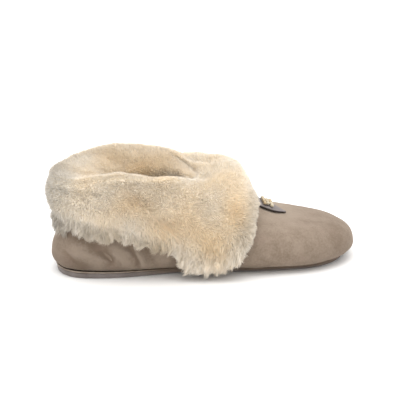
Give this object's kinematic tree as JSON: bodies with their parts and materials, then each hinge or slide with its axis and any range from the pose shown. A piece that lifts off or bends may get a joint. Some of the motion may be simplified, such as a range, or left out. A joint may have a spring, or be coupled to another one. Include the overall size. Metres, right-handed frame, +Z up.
{
  "type": "slipper",
  "caption": "Soft suede slipper on a thin sole, with a deep shearling cuff turned down over the upper and a pointed beaded tab on the vamp.",
  "frame": {"origin": "on the floor under the middle of the heel, 36 mm in front of the heel's back", "axes": "+X from heel to toe, +Y to the inner side of the foot, +Z up"},
  "size_m": [0.265, 0.1184, 0.1001],
  "materials": {
    "suede": "matte brushed suede with a short nap",
    "wool": "deep cream shearling wool",
    "sole_suede": "dark matte suede sole",
    "pale_edge": "pale folded leather strip",
    "tab_leather": "smooth leather with dark cut edges",
    "bead": "glossy cream beads"
  },
  "bodies": {
    "root": {"outsole": "sole_suede", "rand": "pale_edge", "insole": "wool", "upper": "suede", "cuff": "wool", "vamp_tab": "tab_leather", "bead_1": "bead", "bead_2": "bead", "bead_3": "bead", "bead_4": "bead", "bead_5": "bead", "bead_6": "bead", "bead_7": "bead", "bead_8": "bead", "bead_9": "bead", "bead_10": "bead", "bead_11": "bead"}
  },
  "joints": []
}
